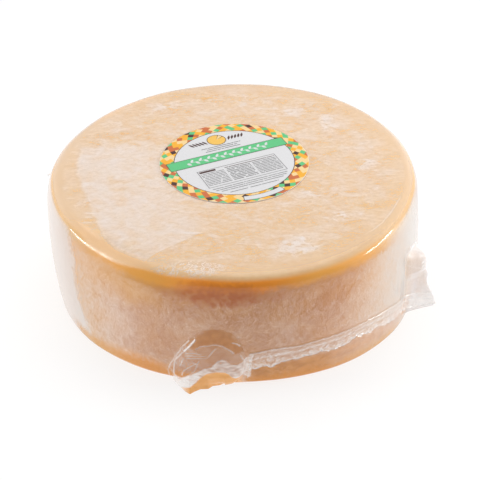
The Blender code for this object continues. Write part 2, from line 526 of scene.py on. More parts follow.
def plan_angle(x, y):
    """Plan angle in degrees, -90 at the front."""
    return x.maths("ARCTAN2", y, x) * (180 / math.pi)


def wall_angle(x, y):
    """The same angle mirrored at the back, so that the back is finished like the front."""
    return abs(plan_angle(x, y)) * -1.0


print("material helpers ready")

# %% Bands of the rind
BROWN_PATCH_AT = (-94.0, 0.0972)
BROWN_PATCH_SIZE = (20.0, 0.0130)
TOP_FROM = (0.1085, 0.1117)
GOLD_FROM = (0.0997, 0.1073)
GOLD_DROP = 0.0052
FOOT_BAND = (0.017, 0.004)
FOOT_BAND_MORE = 0.008


def sunk(angle):
    """How much lower the colours of the shoulder lie where it has slumped."""
    whole = ease(angle, -138.0, -124.0) * ease(angle, -98.0, -112.0)
    deepest = ease(angle, -144.0, -134.0) * ease(angle, -114.0, -130.0)
    return 0.0008 * whole + 0.0034 * deepest


def on_top(level, angle):
    """1 on the flat top, 0 from the shoulder down."""
    return ease(level + sunk(angle), *TOP_FROM)


def golden(level, angle):
    """1 on the golden shoulder, which reaches lowest at the front."""
    front = ease(angle, -129.0, -109.0) * ease(angle, -76.0, -92.0)
    return ease(level + front * GOLD_DROP, *GOLD_FROM)


def low_band(level, angle):
    """1 on the golden band above the foot, which is taller at the left."""
    return ease(level - ease(angle, -104.0, -116.0) * FOOT_BAND_MORE, *FOOT_BAND)


print("golden shoulder from", GOLD_FROM, "m, foot band below", FOOT_BAND[0], "m")


# %% Cheese material
def cheese_material():
    """Golden rind with mottling, a brown patch, deeper edges and painted light and shade."""
    made, shader, place = new_material("cheese")
    x, y = in_plan(place)
    angle = wall_angle(x, y)
    level = attribute(place, "level")
    away = abs(angle + 90.0)
    radius = (x * x + y * y) ** 0.5
    blots = grain(place, (0.022, 0.022, 0.022), detail=3.0)
    specks = grain(place, (0.0035, 0.0035, 0.0050), detail=2.0)
    patches = grain(place, (0.010, 0.010, 0.006), detail=4.0, rough=0.65, twist=0.6)
    tone = ease(blots * 0.5 + specks * 0.5, 0.40, 0.62)

    # Painted light: the rim of the top is painted lighter at the left and right, where the side lights
    # fall on it.
    rim = ease(radius, 0.125, 0.150) * ease(away, 35.0, 60.0)
    # Painted light: the slumped front left shoulder turns away from the overhead light, so its outer
    # edge is painted lighter to make up for that shade.
    front_left = ease(angle, -108.0, -122.0) * ease(angle, -152.0, -140.0)
    roll = ease(radius, 0.1445, 0.1500) * front_left
    top = blend(blend(blend(RIND, RIND_DEEP, tone), RIND_RIM_PAINTED_LIGHT, rim), RIND_ROLL_PAINTED_LIGHT, roll)

    # Painted light and shade: the side is painted lighter towards both ends, where the side lights
    # fall, and darker at the front, which faces away from them.
    side = blend(blend(SIDE, SIDE_DEEP, tone), SIDE_END_PAINTED_LIGHT, ease(away, 28.0, 54.0))
    warm = ease(angle, -104.0, -120.0) * ease(level + uneven(blots, 0.04), 0.066, 0.086)
    side = blend(side, SIDE_WARM, warm)
    under = blend(UNDER_SEAL, UNDER_DEEP, ease(patches, 0.42, 0.60))
    low = ease(level + uneven(blots, 0.01), 0.034, 0.024)
    side = blend(side, under, low * ease(angle, -90.0, -84.0))

    gold = blend(blend(EDGE_GOLD, EDGE_RIM, ease(away, 38.0, 56.0)), EDGE_FRONT, ease(away, 25.0, 6.0))
    colour = blend(side, gold, golden(level + uneven(specks, 0.006) + uneven(blots, 0.010), angle))
    colour = blend(colour, top, on_top(level, angle))
    turn = plan_angle(x, y) + uneven(blots, 24)
    brown_share = spot(turn, level + uneven(specks, 0.012), BROWN_PATCH_AT, BROWN_PATCH_SIZE, 0.0)
    colour = blend(colour, BROWN_PATCH, brown_share * (0.6 + ease(specks, 0.40, 0.60) * 0.4))
    foot = low_band(level + uneven(specks, 0.008) + uneven(blots, 0.012), angle)
    colour = blend(colour, blend(FOOT, FOOT_END, ease(away, 25.0, 50.0)), foot * 0.9)

    finest = bump(place, 0.15, 0.0002, specks + blots * 0.5)
    dress(place, shader, {
        "Base Color": colour,
        "Roughness": 0.42 + specks * 0.16,
        "Specular IOR Level": 0.1,
        "Coat Weight": 0.45,
        "Coat Roughness": 0.09,
        "Normal": finest,
    })
    return made


rind = cheese_material()
print("rind nodes:", len(rind.node_tree.nodes))

# %% Cheese mesh
CHEESE_SIDES = 400
CHEESE_LIFT = 0.0004
RELIEF_SLOW = 0.00018
RELIEF_FINE = 0.00002
LABEL_ZONE = 0.068
LABEL_CENTRE = (0.0008, 0.0070)


def relief(points):
    """Unevenness of the pressed rind, in metres; the label lies on a flat patch."""
    rough = RELIEF_SLOW * ripples(points, 0.055, 3) + RELIEF_FINE * ripples(points, 0.009, 4)
    from_label = np.hypot(points[..., 0] - LABEL_CENTRE[0], points[..., 1] - LABEL_CENTRE[1])
    return rough * ramp(from_label, LABEL_ZONE, LABEL_ZONE + 0.015)


def make_cheese():
    """Fine mesh of the wheel, closed at the foot and the top."""
    heights = np.linspace(FOOT_EDGE_RADIUS, WHEEL_HEIGHT - TOP_EDGE_RADIUS, 50)[1:-1]
    foot_shares = [0.3, 0.6, 0.8, 0.92]
    top_shares = np.linspace(1.0, 0.02, 60)[1:]
    rows = profile_rows(heights, 10, foot_shares, top_shares)
    angles = np.arange(CHEESE_SIDES) * 360.0 / CHEESE_SIDES
    grid = turned_grid(rows, angles)
    grid = grid + grid_normals(grid) * relief(grid)[..., None]
    grid[..., 2] = np.maximum(grid[..., 2], CHEESE_LIFT)
    faces = turned_faces(*grid.shape[:2])
    made = link_piece("cheese", with_poles(grid), faces, [rind], "cheese_wheel")
    store_level(made, rows, angles)
    return made


cheese = make_cheese()
print("cheese:", len(cheese.data.polygons), "faces")

# %% [markdown]
# ## The bag
#
# The bag is one closed skin of film. Over most of the wheel it lies a few tenths of a millimetre
# off the cheese. At the front it stands off in a pillow of air with a corner of the bag below it
# on the table, at the right it runs out into a pointed ear, and at the far side two smaller ears
# end the other seam. All of this is one surface that stands further off or closer, so it is made
# as a height field over the wheel: dense columns where the film is loose, few where it clings.
# Cloth simulation could draw the wrinkles too, but they would land where it likes; here each
# crease of the photo is a named line.

# %% Where the film stands off
FILM_GAP = 0.00030
LABEL_FILM_GAP = 0.00015

POCKET_EDGE = (
    (-109.1, 0.016, 0.019), (-107.0, 0.006, 0.030), (-103.9, 0.000, 0.048),
    (-100.6, 0.000, 0.0585), (-98.1, 0.000, 0.0622), (-95.8, 0.000, 0.0641),
    (-93.1, 0.000, 0.0636), (-90.4, 0.002, 0.0608), (-88.2, 0.008, 0.0539),
    (-86.8, 0.020, 0.0400),
)
POCKET_REACH = 0.0100
POCKET_MIDDLE = -97.8
POCKET_HALF_ANGLE = 11.3
CORNER_EDGE = (
    (-109.0, 0.0), (-107.6, 0.0027), (-105.3, 0.0082), (-103.4, 0.0127),
    (-101.9, 0.0147), (-101.0, 0.0115), (-99.5, 0.0083), (-97.2, 0.0062),
    (-96.2, 0.0030), (-92.5, 0.0),
)
CORNER_HEIGHT = 0.026
DRAPE_TOP = 0.030
EAR_AT = -25.0
EAR_LEFT = 5.0
EAR_RIGHT = 9.5
EAR_SHARPNESS = 1.7
EAR_EDGE = (
    (0.0115, 0.0), (0.0136, 0.0243), (0.0218, 0.0234), (0.0284, 0.0208),
    (0.0361, 0.0164), (0.0432, 0.0149), (0.0480, 0.0152), (0.0534, 0.0128),
    (0.0590, 0.0132), (0.0641, 0.0130), (0.0660, 0.0126), (0.0678, 0.0114),
    (0.0694, 0.0094), (0.0708, 0.0068), (0.0720, 0.0040), (0.0730, 0.0018),
    (0.0740, 0.0),
)
BACK_EARS = ((165.0, 0.0740, 0.0150), (77.5, 0.0330, 0.0120))
BACK_EAR_HALF_ANGLE = 5.5
BACK_EAR_HALF_HEIGHT = 0.0150
BACK_EAR_SHARPNESS = 1.4


def keyed(keys, at, column=1):
    """Value of a column of the keys at a place, along straight lines."""
    table = np.array(keys)
    return np.interp(at, table[:, 0], table[:, column])


def tent(distance, sharpness):
    """1 in the middle, 0 from distance 1 on."""
    return np.maximum(0.0, 1 - distance) ** sharpness


def dome(distance):
    """Height of a round dome over the distance from its middle."""
    return np.sqrt(np.maximum(0.0, 1 - distance ** 2))


def pocket_lift(angle, z):
    """Stand-off of the pillow of air at the front."""
    low = keyed(POCKET_EDGE, angle, 1)
    high = keyed(POCKET_EDGE, angle, 2)
    middle = np.where(low > 0.0005, (low + high) / 2, high * 0.52)
    half = np.maximum(high - middle, 0.001)
    across = (z - middle) / half
    along = (angle - POCKET_MIDDLE) / POCKET_HALF_ANGLE
    return POCKET_REACH * dome(across) * dome(along)


def corner_lift(angle, z):
    """Stand-off of the bag's corner that touches the table."""
    reach = np.where(angle < 0, keyed(CORNER_EDGE, angle), 0.0)
    return reach * tent(z / CORNER_HEIGHT, 1.0)


def drape_lift(angle, z):
    """Film that hangs straight from the pillow down to the corner on the table."""
    share = ramp(z, 0, DRAPE_TOP)
    belly = pocket_lift(angle, DRAPE_TOP)
    foot = corner_lift(angle, 0.0)
    hangs = ramp(foot, 0, 0.002) * (z < DRAPE_TOP)
    return (belly * share + foot * (1 - share)) * hangs


def ear_reach(angle, z):
    """How far the ear at the right runs out along +X: a fold below, a bubble on top."""
    bubble = ramp(z, 0.048, 0.056)
    away = np.abs(angle - EAR_AT) / np.where(angle < EAR_AT, EAR_LEFT, EAR_RIGHT - 2.5 * bubble)
    profile = (1 - bubble) * tent(away, EAR_SHARPNESS) + bubble * tent(away ** 2, 1.2)
    droop = np.clip(angle - EAR_AT, 0, 8) * 0.0007 * bubble
    return keyed(EAR_EDGE, z + droop) * profile


def back_lift(angle, z):
    """Stand-off of the two small ears of the far seam."""
    total = np.zeros(np.broadcast(angle, z).shape)
    for at, rise, reach in BACK_EARS:
        distance = np.hypot((angle - at) / BACK_EAR_HALF_ANGLE, (z - rise) / BACK_EAR_HALF_HEIGHT)
        total += reach * tent(distance, BACK_EAR_SHARPNESS)
    return total


print("corner of the bag reaches", round(float(corner_lift(np.array(-101.9), 0.0)), 4))


# %% Lines on the film
# Painted highlights: along the glint lines, the ear's arcs and the two rim lines of the pocket, the
# film is made milky and mirror-like where the curved loose film catches the lights. The folds and
# pleats are whitened partly by the crease itself and partly as painted glints.
SEAL_BAND = (
    (-106.7, 0.0000, 0.0010), (-105.5, 0.0000, 0.0078), (-103.9, 0.0042, 0.0150),
    (-102.0, 0.0074, 0.0204), (-100.2, 0.0125, 0.0240), (-98.5, 0.0196, 0.0273),
    (-97.1, 0.0240, 0.0306), (-95.7, 0.0256, 0.0330), (-94.1, 0.0265, 0.0396),
    (-93.0, 0.0262, 0.0408), (-92.2, 0.0256, 0.0399), (-91.4, 0.0230, 0.0369),
    (-90.6, 0.0190, 0.0336), (-89.3, 0.0144, 0.0327), (-87.9, 0.0156, 0.0327),
    (-87.0, 0.0134, 0.0345), (-84.9, 0.0108, 0.0380),
)
SEAL_ENDS = (-106.9, -84.9)
OUTER_RIM = ((-109.5, 0.005), (-109.8, 0.010), (-108.7, 0.019), (-106.9, 0.030), (-104.7, 0.042))
INNER_RIM = ((-107.7, 0.003), (-107.2, 0.016), (-106.5, 0.029), (-104.2, 0.040), (-102.9, 0.044))
PAINTED_GLINT = ((-103.5, 0.0426), (-101.8, 0.0495), (-100.4, 0.0555))
PAINTED_GLINT_BESIDE = ((-103.7, 0.0468), (-102.3, 0.0522))
PAINTED_GLINT_RIGHT = ((-90.2, 0.0552), (-89.3, 0.0534), (-88.3, 0.0507))
FOLD = (
    (-100.0, 0.0486), (-98.9, 0.0510), (-97.3, 0.0531), (-95.7, 0.0543),
    (-94.1, 0.0540), (-92.8, 0.0528), (-91.7, 0.0501), (-90.0, 0.0450),
)
FOLD_RETURN = ((-96.7, 0.0426), (-96.0, 0.0459), (-95.4, 0.0492), (-94.6, 0.0513))
PLEATS = (
    ((-103.2, 0.0411), (-101.7, 0.0432), (-100.0, 0.0450), (-98.6, 0.0447)),
    ((-103.2, 0.0387), (-101.1, 0.0414), (-99.1, 0.0429), (-97.3, 0.0429)),
    ((-102.6, 0.0375), (-100.5, 0.0399), (-97.0, 0.0414)),
    ((-104.8, 0.0261), (-104.1, 0.0327), (-103.5, 0.0369)),
    ((-104.4, 0.0168), (-103.6, 0.0231), (-102.1, 0.0282), (-99.7, 0.0348)),
    ((-103.4, 0.0132), (-102.0, 0.0201), (-100.4, 0.0261), (-99.2, 0.0372)),
)
RIGHT_EDGE = ((-88.2, 0.0417), (-87.3, 0.0357), (-86.1, 0.0309))
SEAL_FOLD = ((-84.6, 0.0366), (-85.1, 0.0285), (-85.5, 0.0198), (-85.7, 0.0096))
EAR_GLINT_ARCS = (
    ((-29.4, 0.0714), (-30.4, 0.0692), (-29.6, 0.0650), (-28.1, 0.0610), (-26.8, 0.0575)),
    ((-27.1, 0.0668), (-26.6, 0.0620), (-27.1, 0.0567)),
)
POCKET_LINES = [
    (OUTER_RIM, 0.5, 0.30),
    (INNER_RIM, 0.5, 0.40),
    (PAINTED_GLINT, 0.5, 1.0),
    (PAINTED_GLINT_BESIDE, 0.4, 0.45),
    (PAINTED_GLINT_RIGHT, 0.35, 0.7),
    (FOLD, 0.7, 0.35),
    (FOLD_RETURN, 0.5, 0.4),
    (RIGHT_EDGE, 0.5, 0.3),
    (SEAL_FOLD, 0.6, 0.5),
]
POCKET_LINES += [(pleat, 0.45, 0.38) for pleat in PLEATS]
POCKET_LINES += [(arc, 0.35, 0.62) for arc in EAR_GLINT_ARCS]


def line_mask(angle, z, points, width):
    """1 on a line along the side of the wheel and 0 a width away from it."""
    u = np.radians(angle) * WHEEL_RADIUS
    best = np.full(np.broadcast(angle, z).shape, 1.0)
    for (a0, z0), (a1, z1) in zip(points, points[1:]):
        u0 = math.radians(a0) * WHEEL_RADIUS
        u1 = math.radians(a1) * WHEEL_RADIUS
        length = (u1 - u0) ** 2 + (z1 - z0) ** 2
        share = np.clip(((u - u0) * (u1 - u0) + (z - z0) * (z1 - z0)) / length, 0, 1)
        best = np.minimum(best, np.hypot(u - u0 - share * (u1 - u0), z - z0 - share * (z1 - z0)))
    return bell(best / width)


def soft_band(value, low, high, soft):
    """1 between two edges, falling to 0 over a soft width."""
    half = soft / 2
    return ramp(value, low - half, low + half) * ramp(value, high + half, high - half)


def seal_mask(angle, z):
    """1 on the sealed band that crosses the air pocket."""
    inside = soft_band(z, keyed(SEAL_BAND, angle, 1), keyed(SEAL_BAND, angle, 2), 0.0015)
    return inside * soft_band(angle, *SEAL_ENDS, 0.4)


print("lines on the loose film:", len(POCKET_LINES))


# %% Columns and rows of the skin
STRETCHES = (
    (-112.0, -84.0, 0.2),
    (-84.0, -10.0, 0.4),
    (-10.0, 68.0, 2.0),
    (68.0, 176.0, 1.0),
    (176.0, 248.0, 2.0),
)
LOOSE_TOP = 0.0795


def bag_angles():
    """Plan angles of the columns, close together where the film is loose."""
    parts = [np.arange(start, end - step / 2, step) for start, end, step in STRETCHES]
    return np.concatenate(parts)


def bag_rows():
    """Rows of the skin's profile, close together where the film is loose."""
    heights = np.concatenate([
        np.arange(0.0056, 0.0750, 0.0006),
        np.arange(0.0762, 0.0800, 0.0012),
        np.arange(0.0825, 0.1025, 0.0025),
    ])
    top_shares = np.concatenate([np.arange(0.985, 0.60, -0.0215), [0.5, 0.43, 0.25]])
    return profile_rows(heights, 8, [0.4, 0.8, 0.97], top_shares)


print("skin:", len(bag_rows()), "rows and", len(bag_angles()), "columns")


# %% Clinging film, air pocket and creases
def side_streaks(points, angle, z):
    """Upright folds that the ear draws into the film at the right."""
    share = bell((angle + 29.0) / 9.0) * ramp(z, 0.012, 0.032)
    return share * ripples(points, 0.010, 11, squeeze=(1.0, 1.0, 0.12))


def tight_film(rows, angles, angle, outward):
    """Points of the film that clings; below the air pocket it skips the foot's rounding."""
    hang = ramp(angle, -110, -108) * ramp(angle, -91, -94)
    grid = turned_grid(rows, angles)
    foot = (rows[:, 2:3] * WHEEL_HEIGHT < FOOT_EDGE_RADIUS) & (rows[:, 0:1] == 1.0)
    grid = grid + outward * (np.where(foot, rows[:, 1:2], 0.0) * hang)[..., None]
    normals = grid_normals(grid)
    from_label = np.hypot(grid[..., 0] - LABEL_CENTRE[0], grid[..., 1] - LABEL_CENTRE[1])
    near_label = (from_label < LABEL_ZONE) & (rows[:, 2:3] == 1.0)
    gap = np.where(near_label, LABEL_FILM_GAP, FILM_GAP) + relief(grid)
    return grid + normals * gap[..., None]


def pillow_lift(grid, angle, z):
    """Stand-off of the air pocket, the bag's corner and the film between them."""
    lift = np.maximum(pocket_lift(angle, z), corner_lift(angle, z))
    lift = np.maximum(lift, drape_lift(angle, z))
    return lift * (1 + 0.03 * ripples(grid, 0.014, 7))


def crease_and_glint_mask(grid, angle, z):
    """Creases and painted glints of the loose film: the named lines, each wandering a little."""
    wander = ripples(grid, 0.010, 17)
    creases_and_glints = np.zeros(grid.shape[:2])
    for points, width, strength in POCKET_LINES:
        mask = line_mask(angle + wander * 0.10, z + wander * 0.0003, points, width * 0.001)
        creases_and_glints = np.maximum(creases_and_glints, mask * strength)
    return creases_and_glints


print("pocket stands off by", POCKET_REACH, "m")


# %% Skin of the bag
def skin_marks(grid, angle, z, reach, band, creases_and_glints, loose):
    """Values for the material: how milky, with the painted glints, how loose, how far out in an ear and
    how orange.
    """
    ear = ramp(np.maximum(reach, ear_reach(angle, z - 0.0015)), 0, 0.005)
    far = ramp(reach, 0, 0.010)
    streak = 0.5 + 0.5 * side_streaks(grid, angle, z)
    thick = 0.38 + 0.40 * ramp(angle, -97, -102)
    # Painted highlights: the crease lines carry the painted glints into the film's milkiness here.
    haze_and_glints = np.maximum(band * (thick + 0.12 * ripples(grid, 0.005, 13)), creases_and_glints)
    haze_and_glints = np.maximum(haze_and_glints, ear * (0.36 - 0.23 * far + 0.12 * np.clip(streak, 0, 1)))
    under_fold = ramp(keyed(FOLD, angle) - z, 0, 0.0015)
    haze_and_glints = np.maximum(haze_and_glints, loose * 0.13 * under_fold * ramp(z, 0.018, 0.026))
    back_ear = ramp(back_lift(angle, z), 0, 0.004)
    haze_and_glints = np.maximum(haze_and_glints, back_ear * 0.45)
    low = ramp(z, 0.0135, 0.0055)
    tip = low * ramp(angle, -101, -104) * ramp(angle, -108.5, -107)
    haze_and_glints = np.maximum(haze_and_glints, tip * 0.34)
    under_band = ramp(keyed(SEAL_BAND, angle, 1) - z, 0, 0.002)
    below = np.maximum(low, under_band) * (1 - band)
    return {
        "haze_and_glints": np.clip(haze_and_glints, 0, 1),
        "loose": np.maximum(loose, far * 0.8),
        "ear": np.maximum(ear, back_ear),
        "orange_tint": below * ramp(angle, -106, -102) * ramp(angle, -86, -89),
    }


def make_skin():
    """Closed skin of film with its loose parts; keeps what the material needs as attributes."""
    rows = bag_rows()
    angles = bag_angles()
    wrapped = np.where(angles > 180, angles - 360, angles)[None, :]
    z = rows[:, 2:3] * WHEEL_HEIGHT
    on_wall = np.where((rows[:, 0:1] == 1.0) & (z < LOOSE_TOP), 1.0, 0.0)
    turn = np.radians(angles)
    outward = np.stack([np.cos(turn), np.sin(turn), 0 * turn], -1)[None]
    grid = tight_film(rows, angles, wrapped, outward)
    lift = pillow_lift(grid, wrapped, z)
    loose = ramp(lift, 0, 0.004)
    band = seal_mask(wrapped, z)
    creases_and_glints = crease_and_glint_mask(grid, wrapped, z)
    crumple = ripples(grid, 0.007, 8) * 0.0002 * loose + ripples(grid, 0.004, 9) * 0.0002 * band
    lift = lift + crumple + creases_and_glints * 0.0006 + band * 0.0006
    lift = lift + back_lift(wrapped, z) + 0.0003 * side_streaks(grid, wrapped, z)
    grid = grid + outward * (np.maximum(lift, 0.0) * on_wall)[..., None]
    reach = ear_reach(wrapped, z) * on_wall
    grid[..., 0] += reach
    grid[..., 2] = np.maximum(grid[..., 2], 0.0001)
    faces = turned_faces(*grid.shape[:2])
    made = link_piece("bag_skin", with_poles(grid), faces, [], "bag_front_seal")
    store_level(made, rows, angles)
    marks = skin_marks(grid, wrapped, z, reach, band, creases_and_glints, loose)
    for name, values in marks.items():
        store(made, name, values)
    return made


skin = make_skin()
print("skin:", len(skin.data.polygons), "faces")

# %% [markdown]
# ## Film material
#
# Clear film is mostly not there: light goes straight through, and what shows is its gloss and
# the milky bloom where air or moisture is trapped below it. So the film is a mix of nothing
# (Transparent) and a pale glossy shader, and the mix factor is the milkiness. Seen at a shallow
# angle more of that bloom is crossed, and the film whitens towards the outline of the wheel.
#
# On the side the bloom is partly fine wrinkles that mirror the white ground, so the pale shader
# is made metallic there. At both ends and on the ears it is matt, like thick hazy film.

# %% Milky patches of the top
TOP_MILK = 0.235
SHOULDER_MILK = 0.20
PALE = 0.43
PALE_SPOTS = (
    ((0.088, 0.074), (0.012, 0.018), 0.22),
    ((0.116, 0.002), (0.012, 0.010), 0.20),
    ((0.088, -0.076), (0.009, 0.008), 0.30),
    ((0.068, -0.042), (0.018, 0.013), 0.14),
    ((0.052, -0.119), (0.022, 0.014), 0.28),
    ((-0.068, 0.108), (0.020, 0.014), 0.12),
    ((0.056, 0.096), (0.014, 0.012), 0.14),
    ((0.106, 0.106), (0.016, 0.010), 0.18),
    ((-0.112, 0.074), (0.014, 0.010), 0.12),
    ((-0.125, -0.055), (0.005, 0.006), 0.16),
)
CRACKLE = ((-0.038, -0.146), (0.042, 0.011), 0.50)
CLEAR_RINGS = (
    ((-0.099, -0.030), (0.011, 0.012)),
    ((-0.090, -0.044), (0.008, 0.011)),
)
DASHES = (
    ((-0.118, -0.071), 0.005),
    ((-0.118, -0.077), 0.004),
    ((-0.119, -0.084), 0.005),
    ((-0.034, -0.100), 0.012),
)
DASH_WIDTH = 0.0013
PALE_EDGE = ((-0.137, 0.040), (-0.137, -0.006), (-0.105, -0.100), (-0.083, -0.133), (-0.072, -0.136))
CREASE = (0.1478, -46.0, -17.0)


def top_milk(place, x, y, angle):
    """Milkiness of the film on the flat top."""
    clouds = grain(place, (0.034, 0.022, 0.03), detail=2.0, twist=0.6)
    wisps = grain(place, (0.014, 0.0085, 0.01), detail=4.0, rough=0.68, twist=0.8)
    flecks = grain(place, (0.0058, 0.0036, 0.006), detail=3.0, rough=0.7, twist=0.5)
    streaks = grain(place, (0.018, 0.0018, 0.01), detail=1.0, twist=0.1)
    lace = grain(place, (0.0095, 0.0065, 0.01), detail=3.0, rough=0.6, twist=1.6)
    veins = ease(abs(lace - 0.5), 0.030, 0.005)
    grains = uneven(wisps, 0.52) + uneven(flecks, 0.40)
    milk = TOP_MILK + uneven(clouds, 0.35) + grains + ease(wisps, 0.56, 0.68) * 0.06
    milk = milk + ease(streaks, 0.60, 0.74) * 0.07 + veins * 0.035
    rim = (x * x + y * y) ** 0.5
    milk = milk * (1 - ease(rim, 0.126, 0.148) * 0.15) - ease(rim, 0.126, 0.146) * grains * 0.5
    warp = (grain(place, (0.014, 0.014, 0.014), detail=4.0, rough=0.7) - 0.5) * 0.030
    pale = beside(x, y, (-0.072, -0.1345), (-0.036, -0.1075), 0.001)
    for start, end in zip(PALE_EDGE, PALE_EDGE[1:]):
        pale = pale * beside(x + warp * 0.35, y, start, end, 0.004)
    pale = pale * beside(x + warp, y, (-0.026, -0.104), (-0.070, 0.030), 0.040)
    pale = pale * beside(x, y + warp, (-0.060, 0.034), (-0.136, 0.036), 0.014)
    for centre, size in CLEAR_RINGS:
        outer = spot(x + warp * 0.3, y - warp * 0.3, centre, size)
        inner = spot(x + warp * 0.3, y - warp * 0.3, centre, (size[0] * 0.62, size[1] * 0.62))
        pale = pale * (1 - outer * (1 - inner * 0.8) * 0.6)
    milk = milk + pale * (PALE + grains * 1.2 + veins * 0.04 - milk)
    gathered = ease(wisps + uneven(flecks, 0.5), 0.36, 0.60)
    for centre, size, strength in PALE_SPOTS:
        milk = milk + spot(x + warp, y + warp, centre, size) * strength * gathered
    milk = milk + ease(rim, 0.1460, 0.1500) * (SHOULDER_MILK - milk)
    centre, size, strength = CRACKLE
    crackled = more(veins, ease(wisps, 0.50, 0.60) * 0.6)
    milk = milk + spot(x, y + warp * 0.3, centre, size) * strength * crackled
    for centre, length in DASHES:
        milk = milk + spot(x, y + warp * 0.1, centre, (length, DASH_WIDTH)) * 0.20
    along = ease(angle, CREASE[1], CREASE[1] + 8) * ease(angle, CREASE[2], CREASE[2] - 6)
    return milk + ease(abs(rim + warp * 0.12 - CREASE[0]), 0.0010, 0.0002) * along * 0.16


print("milk of the top:", TOP_MILK, "with", len(PALE_SPOTS), "paler spots")

# %% Milky patches of the side
SIDE_MILK = 0.125
END_HAZE_AND_SHEEN = 0.60


def pale_end(level, angle):
    """1 on the pale stretch at the left of the side; its edge leans."""
    return ease(angle + (level - 0.062) * 105, -142.0, -145.0)


def side_milk(place, angle, level):
    """Milkiness of the film on the side, with fine fibres and the pale left end."""
    away = abs(angle + 90.0)
    clouds = grain(place, (0.018, 0.018, 0.026), detail=3.0, rough=0.6, twist=0.5)
    mottle = grain(place, (0.0036, 0.0036, 0.0068), detail=4.0, rough=0.65, twist=0.4)
    left = ease(angle, -104.0, -130.0)
    right = ease(angle, -68.0, -26.0) * ease(angle, 40.0, 10.0)
    front = ease(away, 30.0, 12.0)
    milk = SIDE_MILK + left * 0.075 + right * 0.32 + front * 0.035 - ease(away, 9.0, 2.0) * 0.04
    milk = milk * (1 - ease(level, 0.066, 0.086) * ease(away, 50.0, 36.0) * 0.50)
    fine = grain(place, (0.0016, 0.0016, 0.0024), detail=2.0)
    milk = milk + uneven(clouds, 0.20) + uneven(mottle, 0.22) + ease(mottle, 0.56, 0.68) * 0.04
    milk = milk + uneven(fine, 0.32)
    milk = milk * (1 - ease(away, 55.0, 22.0) * 0.42)
    hairs = 0.05 + ease(clouds, 0.42, 0.60) * 0.04
    for turn, size in ((0.0, 0.018), (0.6, 0.012), (-0.7, 0.014), (1.1, 0.010)):
        threads = grain(place, (0.0012, 0.0012, size), detail=1.0, turn=(0.0, turn, 0.0))
        milk = milk + ease(abs(threads - 0.5), 0.022, 0.0) * hairs
    on_brown_patch = spot(angle, level, BROWN_PATCH_AT, BROWN_PATCH_SIZE, 0.0) * (0.62 + ease(mottle, 0.60, 0.46) * 0.38)
    milk = milk * (1 - on_brown_patch * 0.9)
    shine = golden(level + uneven(mottle, 0.020) + uneven(clouds, 0.016) + 0.003, angle)
    milk = milk * (1 - shine * 0.85 * ease(away, 62.0, 44.0))
    flecks = ease(mottle, 0.50, 0.38) * spot(angle, level, (-136.0, 0.062), (10.0, 0.046), 0.3)
    milk = milk - flecks * 0.05
    turn = angle + uneven(clouds, 14)
    patch = spot(turn, level + uneven(mottle, 0.01), (-125.0, 0.050), (9.0, 0.034))
    milk = milk + patch * 0.05
    below = ease(angle, -86.0, -83.0) * ease(angle, -50.0, -68.0) * ease(level, 0.029, 0.021)
    milk = milk * (1 - below * 0.86)
    milk = milk * (1 - ease(level, 0.036, 0.018) * ease(angle, -62.0, -46.0) * 0.5)
    # Painted sheen: the pale stretch at the left end is partly haze and partly a sheen of the white
    # ground at a grazing angle, painted as thick milky film.
    pale = pale_end(level, angle + uneven(clouds, 12.0) + uneven(mottle, 6.0))
    milk = milk + pale * (END_HAZE_AND_SHEEN + uneven(clouds, 0.4) - milk)
    foot = low_band(level + 0.003 + uneven(mottle, 0.012), angle) * ease(away, 63.0, 52.0)
    return more(milk, 0.01) * (1 - foot * 0.9)


print("milk of the side:", SIDE_MILK, "in the middle and", END_HAZE_AND_SHEEN, "at its left end")

# %% Film material
# Painted light and shade: the pale film is one haze, but its colour is painted lighter on the side that
# faces the camera, which gets little light. It is painted darker on the top and towards both ends,
# darkest at the right end, where the lights fall strongly. The ear's colour is painted a little cool
# against the warm light the cheese bounces onto it.
FILM_TOP = (0.780, 0.740, 0.735, 1.0)
FILM_SIDE_PAINTED_LIGHT = (0.93, 0.90, 0.87, 1.0)
FILM_END_PAINTED_SHADE = (0.735, 0.70, 0.67, 1.0)
FILM_LEFT_PAINTED_SHADE = (0.715, 0.638, 0.592, 1.0)
FILM_RIGHT_PAINTED_SHADE = (0.590, 0.525, 0.490, 1.0)
FILM_LOOSE = (0.93, 0.90, 0.88, 1.0)
FILM_EAR = (0.88, 0.89, 0.91, 1.0)
FILM_ORANGE = (1.0, 0.50, 0.17, 1.0)


def mixed_with_clear(made, shader, factor):
    """Let a share of the light pass straight through."""
    tree = made.node_tree
    clear = tree.nodes.new("ShaderNodeBsdfTransparent")
    mix = tree.nodes.new("ShaderNodeMixShader")
    Field(tree).feed(mix.inputs[0], factor)
    tree.links.new(clear.outputs[0], mix.inputs[1])
    tree.links.new(shader.outputs[0], mix.inputs[2])
    tree.links.new(mix.outputs[0], tree.nodes["Material Output"].inputs["Surface"])


def thicker_at_grazing(milk):
    """Milkiness as seen: the slanting way through the film is longer."""
    facing = milk.node("ShaderNodeLayerWeight", {}, {"Blend": 0.5}, output="Facing")
    straight = more(1 - facing, 0.12)
    return 1 - (1 - less(milk, 0.97)) ** (1 / straight)


